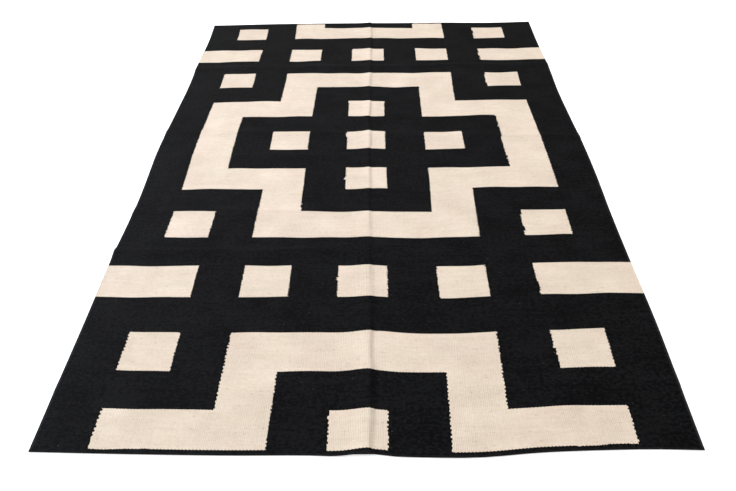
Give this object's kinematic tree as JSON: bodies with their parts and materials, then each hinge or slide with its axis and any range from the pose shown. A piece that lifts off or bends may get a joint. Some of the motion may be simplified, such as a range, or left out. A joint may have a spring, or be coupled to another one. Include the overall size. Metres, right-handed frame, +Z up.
{
  "type": "kilim rug",
  "caption": "Flat-woven wool kilim rug in black and cream with stepped figures and squares, lying flat on a floor with soft storage folds.",
  "frame": {"origin": "centre of the rug's box, at the floor that the underside lies on", "axes": "+Z up from the floor, +Y along the rug's length from the end that shows nearest to the far end, +X across the width to the right"},
  "size_m": [1.6144, 2.8232, 0.0106],
  "materials": {
    "woven_wool": "weft-faced wool flatweave with fine lengthwise ribs, black with cream figures, matt with a faint sheen"
  },
  "bodies": {
    "root": {"kilim": "woven_wool"}
  },
  "joints": []
}
